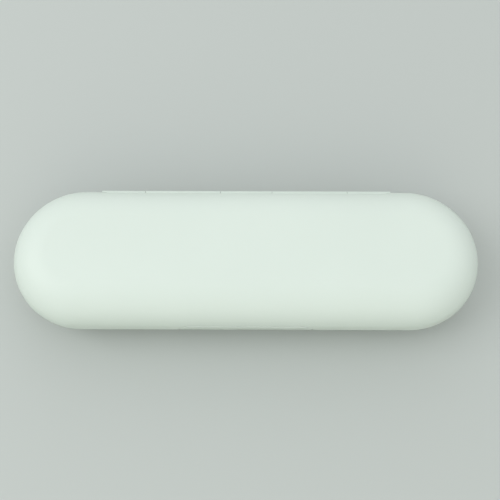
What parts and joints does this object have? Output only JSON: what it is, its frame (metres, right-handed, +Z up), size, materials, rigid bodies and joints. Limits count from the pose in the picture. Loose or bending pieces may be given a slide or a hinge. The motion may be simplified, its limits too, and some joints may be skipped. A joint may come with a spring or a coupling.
{
  "type": "electric toothbrush travel case",
  "caption": "Pill-shaped hard clamshell travel case for an electric toothbrush, with a rear hinge, a wide front clip, moulded inner trays and soft inserts.",
  "frame": {"origin": "centre of the flat underside that the case rests on", "axes": "+X along the case, -Y the front with the clip, +Y the back with the hinge, +Z up out of the lid"},
  "size_m": [0.228, 0.0716, 0.038],
  "materials": {
    "shell": "matte",
    "clip": "matte",
    "tray": "matte",
    "soft": "soft touch",
    "pin": "drawn wire"
  },
  "bodies": {
    "base": {"base_shell": "shell", "base_tray": "tray", "foot_saddle": "soft", "neck_saddle": "soft", "head_cradle_left": "soft", "head_cradle_right": "soft", "hinge_pin": "pin"},
    "lid": {"lid_shell": "shell", "lid_liner": "tray", "lid_foot_pad": "soft", "lid_neck_pad": "soft", "lid_head_pad_left": "soft", "lid_head_pad_right": "soft"},
    "latch": {"front_latch": "clip"}
  },
  "joints": [
    {"name": "lid_hinge", "type": "hinge", "parent": "base", "child": "lid", "pos_m": [0, 0.0349, 0.019], "axis": [-1, 0, 0], "range_deg": [0, 180]},
    {"name": "latch_pivot", "type": "hinge", "parent": "base", "child": "latch", "pos_m": [0, -0.03161, 0.01124], "axis": [1, 0, 0], "range_deg": [0, 70]}
  ]
}
